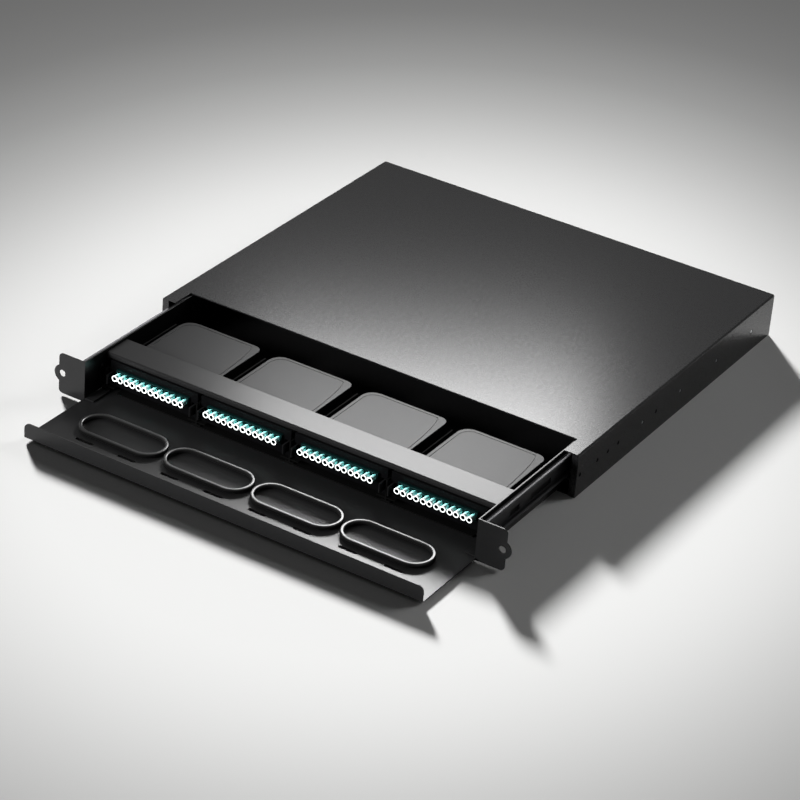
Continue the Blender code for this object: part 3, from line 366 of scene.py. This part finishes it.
# Rolled or plated steel: streaks along the length of the piece.
def platedSteel(name, tone, roughness, metallic=1.0):
    material, tree, shader = newFinish(name, tone, roughness, metallic)
    stretch = tree.nodes.new("ShaderNodeMapping")
    stretch.inputs["Scale"].default_value = (1, steelLook["squeeze"], 1)
    tree.links.new(objectPoint(tree), stretch.inputs["Vector"])
    streaks = noiseOn(tree, stretch.outputs["Vector"], steelLook["streaks"], steelLook["detail"])
    cloud = noiseOn(tree, objectPoint(tree), steelLook["cloud"], steelLook["detail"])
    feedShader(tree, shader,
               varyTone(tree, cloud, tone, steelLook["darkest"], steelLook["lightest"]),
               varyRoughness(tree, streaks, roughness, steelLook["roughSpread"]),
               bumpFrom(tree, streaks, steelLook["relief"], steelLook["depth"]))
    return material


capLook = dict(tone=(0.86, 0.89, 0.88), roughness=0.38, roughSpread=0.04, grain=700, relief=0.06,
               depth=0.00006, stops=[(0.2, (0.76, 0.80, 0.79)), (0.4, (0.58, 0.95, 0.92)),
                                     (1.0, (0.25, 0.84, 0.81))])


# Milky white cap plastic with the adapter's aqua light painted in, stronger towards its root.
def milkyCapPaintedAqua(name, front, back):
    material, tree, shader = newFinish(name, capLook["tone"], capLook["roughness"])
    point = objectPoint(tree)
    parts = tree.nodes.new("ShaderNodeSeparateXYZ")
    tree.links.new(point, parts.inputs["Vector"])
    along = spreadOver(tree, parts.outputs["Y"], 0, 1, front, back)
    grain = noiseOn(tree, point, capLook["grain"])
    feedShader(tree, shader,
               blendColours(tree, along, capLook["stops"]),
               varyRoughness(tree, grain, capLook["roughness"], capLook["roughSpread"]),
               bumpFrom(tree, grain, capLook["relief"], capLook["depth"]))
    return material


caseCoat = powderCoat("caseBlackCoat", (0.004, 0.004, 0.0042), 0.28)
drawerCoat = powderCoat("drawerBlackCoat", (0.004, 0.004, 0.0041), 0.31, specular=0.33)
trayCoat = powderCoat("trayBlackCoat", (0.004, 0.004, 0.0041), 0.42, specular=0.34)
lidBlack = mouldedPlastic("lidSatinBlack", (0.005, 0.005, 0.0052), 0.38, grain=1500, relief=0.16,
                          specular=0.22)
ringBlack = mouldedPlastic("ringGlossBlack", (0.002, 0.002, 0.002), 0.31, grain=700, relief=0.02,
                           specular=1.0)
bodyBlack = mouldedPlastic("bodySatinBlack", (0.0008, 0.0008, 0.0009), 0.5, specular=0.15)
guideMatt = mouldedPlastic("guideMattBlack", (0.0012, 0.0012, 0.0012), 0.8, specular=0.1)
latchBlack = mouldedPlastic("latchSatinBlack", (0.004, 0.004, 0.0042), 0.36)
# The adapters' aqua is darkened nearly to black: painted shade over aqua plastic.
shadedAquaPlastic = mouldedPlastic("adapterAquaPaintedShade", (0.0008, 0.0055, 0.0053), 0.5, specular=0.3)
portDark = mouldedPlastic("portShadowAqua", (0.001, 0.006, 0.006), 0.6)
# The inside of each cap is painted dark: painted shade in its hollow.
capHollowShade = mouldedPlastic("capHollowPaintedShade", (0.008, 0.013, 0.013), 0.6)
slideBlack = platedSteel("slideBlackZinc", (0.07, 0.07, 0.073), 0.42, metallic=0.85)
zincPlate = platedSteel("zincPlate", (0.50, 0.51, 0.53), 0.34)
chromeSteel = platedSteel("bearingBallSteel", (0.62, 0.63, 0.65), 0.12)
grommetRubber = mouldedPlastic("grommetRubber", (0.012, 0.012, 0.012), 0.7, grain=500, relief=0.3)
print("finishes made")


# A folded or moulded shape carried over from the solid, its edges softened by this width.
def softCopy(node, width):
    item = bpy.data.objects.new(node + "_finished", frame["nodes"][node].data.copy())
    bpy.context.collection.objects.link(item)
    editAll(item)
    bpy.ops.mesh.remove_doubles(threshold=cleanUp["weld"])
    bpy.ops.mesh.dissolve_limited(angle_limit=math.radians(cleanUp["flatAngle"]))
    objectMode()
    if width:
        softenEdges(item, width)
    else:
        shadeRound(item)
    return item


def dressCopy(node, material, width):
    item = softCopy(node, width)
    paint(item, [material])
    finishPiece(item, node + "_finished", [node])


edgeRadius = dict(case=0.00025, drawer=0.00022, slide=0.0001, guide=0.0001, housing=0.00015,
                  lid=0.00012, trunk=0.00015)

for node in ("case_shell", "case_base"):
    dressCopy(node, caseCoat, edgeRadius["case"])
dressCopy("drawer_base", trayCoat, edgeRadius["drawer"])
for node in ("drawer_side_left", "drawer_side_right", "cover_bar"):
    dressCopy(node, drawerCoat, edgeRadius["drawer"])
dressCopy("module_bed", guideMatt, edgeRadius["drawer"])
for node in nodesNamed("slide_rail_") + nodesNamed("slide_runner_"):
    dressCopy(node, slideBlack, edgeRadius["slide"])
for node in nodesNamed("module_guide_"):
    dressCopy(node, guideMatt, edgeRadius["guide"])
for number in moduleNumbers:
    dressCopy(f"module_{number}_housing", bodyBlack, edgeRadius["housing"])
    dressCopy(f"module_{number}_lid", lidBlack, edgeRadius["lid"])
    dressCopy(f"module_{number}_trunk_adapter", bodyBlack, edgeRadius["trunk"])
print("sheet and moulded pieces softened")


railScrew = dict(headRadius=0.0035, headHeight=0.0015, headSteps=32, crown=0.0006,
                 crownShare=0.9, crownSegments=4, shankRadius=0.0017, shankSteps=24, tip=0.0004,
                 overlap=0.0002, recessLength=0.0036, recessWidth=0.0008, recessDepth=0.0008,
                 cutterRise=0.001)


# A pan head screw at the origin, its crown at x = 0 and its shank towards +X.
def makeRailScrew(length):
    height = railScrew["headHeight"]
    head = rodAlong("X", railScrew["headRadius"], (height / 2, 0, 0), height,
                    railScrew["headSteps"])
    editFaces(head, lambda face: face.normal.x < -facing)
    bpy.ops.mesh.inset(thickness=railScrew["crown"], depth=0)
    bpy.ops.mesh.bevel(offset=railScrew["crown"] * railScrew["crownShare"],
                       segments=railScrew["crownSegments"], affect="EDGES")
    objectMode()
    reach = railScrew["recessLength"] / 2
    half = railScrew["recessWidth"] / 2
    depth = railScrew["recessDepth"]
    rise = railScrew["cutterRise"]
    cutAway(head, blockAt((-rise, -reach, -half), (depth, reach, half)))
    cutAway(head, blockAt((-rise, -half, -reach), (depth, half, reach)))
    shank = rodAlong("X", railScrew["shankRadius"], ((height + length) / 2, 0, 0),
                     length - height + railScrew["overlap"], railScrew["shankSteps"])
    softenEdges(shank, railScrew["tip"], angle=50)
    shadeRound(head)
    return joinAll([head, shank])


for side, way in sides.items():
    screwNodes = nodesNamed(f"rail_screw_{side}_")
    low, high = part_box(screwNodes[0])
    screwShape = makeRailScrew(high.x - low.x)
    for node in screwNodes:
        low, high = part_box(node)
        crown = (low.x if way > 0 else high.x, (low.y + high.y) / 2, (low.z + high.z) / 2)
        screw = copyMoved(screwShape, crown, 0 if way > 0 else math.pi)
        paint(screw, [zincPlate])
        finishPiece(screw, node.replace("rail_screw", "railScrew"), [node])
    removeShape(screwShape)
print("rail screws made")


ballCage = dict(balls=6, ballRadius=0.0013, ballInset=0.0029, segments=24, rings=12)

for side, way in sides.items():
    node = f"ball_retainer_{side}"
    low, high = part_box(node)
    cage = softCopy(node, 0)
    paint(cage, [zincPlate, chromeSteel])
    pieces = [cage]
    pitch = (high.y - low.y) / ballCage["balls"]
    radius = ballCage["ballRadius"]
    x = low.x + ballCage["ballInset"] if way > 0 else high.x - ballCage["ballInset"]
    for place in range(ballCage["balls"]):
        for z in (low.z + radius, high.z - radius):
            ball = ballAt(radius, (x, low.y + (place + 0.5) * pitch, z), ballCage["segments"],
                          ballCage["rings"])
            paint(ball, [zincPlate, chromeSteel], lambda face: True)
            pieces.append(ball)
    finishPiece(joinAll(pieces), f"ballCage_{side}", [node])
print("ball cages made")


latchTab = dict(edge=0.00018, spindleRadius=0.0015, armHalf=0.0009, foot=0.00445, spare=0.0136,
                ribs=4, ribPitch=0.0013, ribStart=0.0016, ribRadius=0.00035, ribSteps=12,
                ribEnd=0.0006, ribEdge=0.0001)


# A latch lever with grip ribs on the outside of its tab.
def makeLatch(number, side, way):
    node = f"module_{number}_latch_{side}"
    low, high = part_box(node)
    lever = softCopy(node, latchTab["edge"])
    spindle = latchTab["spindleRadius"]
    centre = low.x + spindle if way > 0 else high.x - spindle
    ribFoot = low.z + latchTab["foot"] + latchTab["ribEnd"]
    ribTop = low.z + latchTab["foot"] + (high.z - low.z) - latchTab["spare"] - latchTab["ribEnd"]
    pieces = [lever]
    for place in range(latchTab["ribs"]):
        y = low.y + latchTab["ribStart"] + place * latchTab["ribPitch"]
        middle = (centre + way * latchTab["armHalf"], y, (ribFoot + ribTop) / 2)
        rib = rodAlong("Z", latchTab["ribRadius"], middle, ribTop - ribFoot, latchTab["ribSteps"])
        softenEdges(rib, latchTab["ribEdge"])
        pieces.append(rib)
    latch = joinAll(pieces)
    paint(latch, [latchBlack])
    finishPiece(latch, f"latch_{number}_{side}", [node])


for number in moduleNumbers:
    for side, way in sides.items():
        makeLatch(number, side, way)
print("latches made")


adapterRow = dict(count=6, pitch=0.0134, width=0.0130, height=0.0094, standout=0.0026,
                  length=0.0250, edge=0.00018, portSpacing=0.00625, portWall=0.0008,
                  portDepth=0.0020, portMargin=0.0005, portShare=0.9, ridgeHeight=0.0002,
                  ridgeShare=0.28, ridgeFront=0.0006, ridgeBack=0.0004, flange=0.0014,
                  flangeEdge=0.0002, plateDepth=0.0025)
dustCap = dict(radius=0.0029, wall=0.0009, length=0.0070, gap=0.0003, hollow=0.0050, rim=0.0016,
               waist=0.0003, steps=28, edge=0.00025, plugRadius=0.0019, plugReach=0.0018,
               plugOverlap=0.0004, plugSteps=20, hollowFront=0.0005, hollowBack=0.0002,
               hollowSlack=0.00002)


# One adapter at the origin: its front face at y = -standout, its ports centred on z = 0.
def makeAdapter():
    pieces = []
    front = -adapterRow["standout"]
    high = adapterRow["height"] / 2
    reach = adapterRow["width"] * adapterRow["ridgeShare"]
    for way in (-1, 1):
        inner, outer = sorted((0, way * adapterRow["width"] / 2))
        half = blockAt((inner, front, -high), (outer, front + adapterRow["length"], high))
        editFaces(half, lambda face: face.normal.y < -facing)
        bpy.ops.mesh.inset(thickness=adapterRow["portWall"], depth=0)
        extrudeBy((0, adapterRow["portDepth"], 0))
        objectMode()
        pieces.append(half)
        low, top = sorted((way * high, way * (high + adapterRow["ridgeHeight"])))
        pieces.append(blockAt((-reach, front + adapterRow["ridgeFront"], low),
                              (reach, -adapterRow["ridgeBack"], top)))
    adapter = joinAll(pieces)
    softenEdges(adapter, adapterRow["edge"])
    wall = adapterRow["portWall"] * adapterRow["portShare"]
    paint(adapter, [shadedAquaPlastic, portDark],
          lambda face: front + adapterRow["portMargin"] < face.center.y < 0
          and abs(face.center.z) < high - wall
          and wall < abs(face.center.x) < adapterRow["width"] / 2 - wall)
    return adapter


# A cap with a round rim in front, a narrower tube behind it and a plug in the port.
def makeCap(shell):
    front = -adapterRow["standout"] - dustCap["gap"] - dustCap["length"]
    back = front + dustCap["length"]
    rim = dustCap["rim"]
    tube = rodAlong("Y", dustCap["radius"], (0, front + rim / 2, 0), rim, dustCap["steps"])
    editFaces(tube, lambda face: face.normal.y > facing)
    bpy.ops.mesh.inset(thickness=dustCap["waist"], depth=0)
    extrudeBy((0, dustCap["length"] - rim, 0))
    objectMode()
    editFaces(tube, lambda face: face.normal.y < -facing)
    bpy.ops.mesh.inset(thickness=dustCap["wall"], depth=0)
    extrudeBy((0, dustCap["hollow"], 0))
    objectMode()
    plug = rodAlong("Y", dustCap["plugRadius"], (0, back + dustCap["plugReach"] / 2, 0),
                    dustCap["plugReach"] + dustCap["plugOverlap"], dustCap["plugSteps"])
    cap = joinAll([tube, plug])
    softenEdges(cap, dustCap["edge"], angle=50)
    bore = dustCap["radius"] - dustCap["wall"] + dustCap["hollowSlack"]
    # The faces inside the hollow get the painted shade.
    paint(cap, [shell, capHollowShade],
          lambda face: front + dustCap["hollowFront"] < face.center.y < back - dustCap["hollowBack"]
          and face.normal.x * face.center.x + face.normal.z * face.center.z <= 0
          and math.hypot(face.center.x, face.center.z) < bore)
    return cap


def plateFrontOf(number):
    low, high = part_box(f"module_{number}_adapters")
    return low.y + adapterRow["standout"] + dustCap["gap"] + dustCap["length"]


def makeAdapterRow(number):
    node = f"module_{number}_adapters"
    low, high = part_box(node)
    middle = (low.x + high.x) / 2
    height = (low.z + high.z) / 2
    plateFront = plateFrontOf(number)
    adapters = []
    caps = []
    for place in range(adapterRow["count"]):
        x = middle + (place - (adapterRow["count"] - 1) / 2) * adapterRow["pitch"]
        adapters.append(copyMoved(adapterShape, (x, plateFront, height)))
        for way in (-0.5, 0.5):
            portX = x + way * adapterRow["portSpacing"]
            caps.append(copyMoved(capShape, (portX, plateFront, height)))
    flangeFront = plateFront + adapterRow["plateDepth"]
    span = adapterRow["pitch"] * (adapterRow["count"] - 1) / 2 + adapterRow["width"] / 2
    flange = blockAt((middle - span, flangeFront, low.z),
                     (middle + span, flangeFront + adapterRow["flange"], high.z))
    softenEdges(flange, adapterRow["flangeEdge"])
    paint(flange, [shadedAquaPlastic, portDark])
    finishPiece(joinAll(adapters + [flange]), f"duplexAdapters_{number}", [node])
    finishPiece(joinAll(caps), f"dustCaps_{number}", [node])


capRoot = plateFrontOf(1) - adapterRow["standout"]
capShell = milkyCapPaintedAqua("capWhitePaintedAqua", capRoot - dustCap["length"], capRoot)
adapterShape = makeAdapter()
capShape = makeCap(capShell)
for number in moduleNumbers:
    makeAdapterRow(number)
for shape in (adapterShape, capShape):
    removeShape(shape)
print("adapters and caps made")


cordRing = dict(wall=0.0036, corner=0.0012, cornerSegments=5, steps=64)

for number in moduleNumbers:
    node = f"cord_ring_{number}"
    low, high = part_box(node)
    radius = (high.y - low.y) / 2
    ring = uprightWall(radius, high.z - low.z, cordRing["steps"], (high.x - low.x) / 2 - radius)
    useModifier(ring, "SOLIDIFY", thickness=cordRing["wall"], offset=-1, use_even_offset=True)
    softenEdges(ring, cordRing["corner"], segments=cordRing["cornerSegments"], angle=60)
    standIn(ring, low, high)
    paint(ring, [ringBlack])
    finishPiece(ring, f"cordRing_{number}", [node])
print("cord rings made")


grommet = dict(bore=0.0090, boreRise=0.55, boreEdge=0.0008, boreEdgeRise=0.85, groove=0.0132,
               lip=0.0165, lipEdge=0.0006, lipEdgeRise=0.62, lipFlat=0.0005, halfThickness=0.0032,
               sheet=0.0009, steps=48)


# Turns an outline of (radius, distance) pairs round the Y axis.
def spunAboutY(outline, steps, centre):
    mesh = bpy.data.meshes.new("outline")
    points = [(radius, height, 0) for radius, height in outline]
    edges = [(i, (i + 1) % len(points)) for i in range(len(points))]
    mesh.from_pydata(points, edges, [])
    item = bpy.data.objects.new("outline", mesh)
    bpy.context.collection.objects.link(item)
    editAll(item)
    bpy.ops.mesh.spin(steps=steps, angle=2 * math.pi, center=(0, 0, 0), axis=(0, 1, 0),
                      dupli=False)
    bpy.ops.mesh.select_all(action="SELECT")
    bpy.ops.mesh.remove_doubles(threshold=cleanUp["spunWeld"])
    closeShape()
    item.location = centre
    applyPlace(item)
    return item


# The outline of a grommet: one half from the bore out to the groove, then its mirror image.
def grommetOutline():
    cheek = grommet["halfThickness"]
    bore = grommet["bore"]
    lip = grommet["lip"]
    sheet = grommet["sheet"]
    rearHalf = [(bore, cheek * grommet["boreRise"]),
                (bore + grommet["boreEdge"], cheek * grommet["boreEdgeRise"]),
                ((bore + lip) / 2, cheek),
                (lip - grommet["lipEdge"], cheek * grommet["lipEdgeRise"]),
                (lip, sheet + grommet["lipFlat"]),
                (lip, sheet),
                (grommet["groove"], sheet)]
    frontHalf = [(radius, -distance) for radius, distance in rearHalf]
    return frontHalf + rearHalf[::-1]


for side in sides:
    node = f"entry_grommet_{side}"
    low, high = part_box(node)
    item = spunAboutY(grommetOutline(), grommet["steps"], (low + high) / 2)
    shadeRound(item, 45)
    paint(item, [grommetRubber])
    finishPiece(item, f"entryGrommet_{side}", [node])
print("grommets made")


spool = dict(radius=0.0300, wall=0.0020, steps=72, edge=0.0004, fingers=4, firstTurn=45,
             fingerReach=0.0080, fingerWidth=0.0080, fingerThickness=0.0014, fingerRoot=0.001,
             fingerShort=0.0005, fingerDrop=0.0002, tipShare=0.8, tipSegments=4)


def makeFinger(top, turn):
    half = spool["fingerWidth"] / 2
    root = spool["radius"] - spool["fingerRoot"]
    tip = spool["radius"] + spool["fingerReach"] - spool["fingerShort"]
    finger = blockAt((root, -half, top - spool["fingerThickness"] - spool["fingerDrop"]),
                     (tip, half, top - spool["fingerDrop"]))
    editFaces(finger, lambda face: face.normal.x > facing)
    bpy.ops.mesh.bevel(offset=half * spool["tipShare"], segments=spool["tipSegments"],
                       affect="EDGES")
    objectMode()
    shadeRound(finger)
    finger.rotation_euler.z = math.radians(turn)
    applyPlace(finger)
    return finger


for side in sides:
    node = f"fibre_spool_{side}"
    low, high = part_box(node)
    top = high.z - low.z
    wall = uprightWall(spool["radius"], top, spool["steps"])
    useModifier(wall, "SOLIDIFY", thickness=spool["wall"], offset=-1)
    softenEdges(wall, spool["edge"], angle=60)
    fingers = [makeFinger(top, spool["firstTurn"] + 360 / spool["fingers"] * place)
               for place in range(spool["fingers"])]
    item = joinAll([wall] + fingers)
    standIn(item, low, high)
    paint(item, [bodyBlack])
    finishPiece(item, f"fibreSpool_{side}", [node])
print("spools made")


stageSet = dict(size=14.0, drop=0.0004, colour=(0.9, 0.9, 0.89), roughness=0.9, warmth=0.99,
                centre=(0.019, -0.051, 0), turn=104.3, squeeze=1.292, reach=1.2,
                paintedLightTones=[(0.0, 0.94), (0.34, 0.94), (0.42, 0.83), (0.5, 0.64), (0.58, 0.475),
                       (0.67, 0.335), (0.8, 0.20), (1.0, 0.14)])


# Pale floor that darkens away from the middle, in ovals: a painted pool of light that fades into
# painted shade.
def floorFinish():
    material, tree, shader = newFinish("paleFloor", stageSet["colour"], stageSet["roughness"],
                                       specular=0.0)
    shift = tree.nodes.new("ShaderNodeMapping")
    shift.vector_type = "TEXTURE"
    shift.inputs["Location"].default_value = stageSet["centre"]
    shift.inputs["Rotation"].default_value = (0, 0, math.radians(stageSet["turn"]))
    shift.inputs["Scale"].default_value = (1, 1 / stageSet["squeeze"], 1)
    tree.links.new(objectPoint(tree), shift.inputs["Vector"])
    length = tree.nodes.new("ShaderNodeVectorMath")
    length.operation = "LENGTH"
    tree.links.new(shift.outputs["Vector"], length.inputs[0])
    away = spreadOver(tree, length.outputs["Value"], 0, 1, 0, stageSet["reach"])
    stops = [(place, (tone, tone, tone * stageSet["warmth"])) for place, tone in stageSet["paintedLightTones"]]
    tree.links.new(blendColours(tree, away, stops, "B_SPLINE"), shader.inputs["Base Color"])
    return material


deselectAll()
bpy.ops.mesh.primitive_plane_add(size=stageSet["size"],
                                 location=(0, 0, cadBox[0][2] - stageSet["drop"]))
floor = bpy.context.object
floor.name = "paleFloor"
floor.data.materials.append(floorFinish())


def lampAt(name, kind, place, target, power):
    data = bpy.data.lights.new(name, kind)
    data.energy = power
    item = bpy.data.objects.new(name, data)
    bpy.context.collection.objects.link(item)
    item.location = place
    item.rotation_euler = (Vector(target) - Vector(place)).to_track_quat("-Z", "Y").to_euler()
    item.visible_camera = False
    return item


def softBox(name, place, target, width, depth, power):
    item = lampAt(name, "AREA", place, target, power)
    item.data.shape = "RECTANGLE"
    item.data.size = width
    item.data.size_y = depth
    return item


def sunFrom(name, place, power, softness):
    item = lampAt(name, "SUN", place, (0, 0, 0), power)
    item.data.angle = math.radians(softness)
    item.visible_glossy = False


suns = dict(lowSun=dict(place=(-0.749, 0.663, 0.35), power=8.1, softness=7),
            sideSun=dict(place=(0.55, 0.78, 0.44), power=0.62, softness=25))
softBoxes = dict(topBox=dict(place=(-0.216, 0.398, 0.46), target=(0.123, -0.196, 0.044),
                             width=0.38, depth=0.17, power=3.7),
                 trayBox=dict(place=(-0.173, 0.373, 0.28), target=(0.2, -0.28, 0.004),
                              width=0.26, depth=0.09, power=10),
                 frontFill=dict(place=(-0.75, -1.25, 0.48), target=(0, -0.2, 0.02),
                                width=0.7, depth=0.5, power=98))

for name, settings in suns.items():
    sunFrom(name, **settings)
topBox, trayBox, frontFill = [softBox(name, **settings) for name, settings in softBoxes.items()]
# The first two soft boxes add gloss only, and the fill adds none.
topBox.visible_diffuse = False
trayBox.visible_diffuse = False
frontFill.visible_glossy = False


# Lets a lamp light only this piece, or everything but this piece.
def linkLight(lamp, item, state):
    group = bpy.data.collections.new(lamp.name + "Link")
    group.objects.link(item)
    group.collection_objects[0].light_linking.link_state = state
    lamp.light_linking.receiver_collection = group


traySheet = bpy.data.objects["drawer_base_finished"]
linkLight(topBox, traySheet, "EXCLUDE")
linkLight(trayBox, traySheet, "INCLUDE")
linkLight(frontFill, floor, "EXCLUDE")

# Weak air light, with a brighter room for the gloss to show.
roomLight = dict(air=0.035, sheen=0.27)

world = bpy.data.worlds.new("studioAir")
bpy.context.scene.world = world
world.use_nodes = True
air = world.node_tree.nodes["Background"]
air.inputs["Color"].default_value = (1, 1, 1, 1)
rayKind = world.node_tree.nodes.new("ShaderNodeLightPath")
strength = spreadOver(world.node_tree, rayKind.outputs["Is Glossy Ray"], roomLight["air"],
                      roomLight["sheen"], 0, 1)
world.node_tree.links.new(strength, air.inputs["Strength"])

view = dict(place=(1.2286, -2.1315, 1.4048), turn=(59.8291, -4.1028, 32.4706), lens=137.077,
            sensor=36, near=0.05, far=50)

cameraData = bpy.data.cameras.new("photoCamera")
cameraData.sensor_width = view["sensor"]
cameraData.lens = view["lens"]
cameraData.clip_start = view["near"]
cameraData.clip_end = view["far"]
camera = bpy.data.objects.new("photoCamera", cameraData)
bpy.context.collection.objects.link(camera)
camera.location = view["place"]
camera.rotation_euler = [math.radians(angle) for angle in view["turn"]]
bpy.context.scene.camera = camera
bpy.context.scene.view_settings.view_transform = "Standard"
print("stage set")
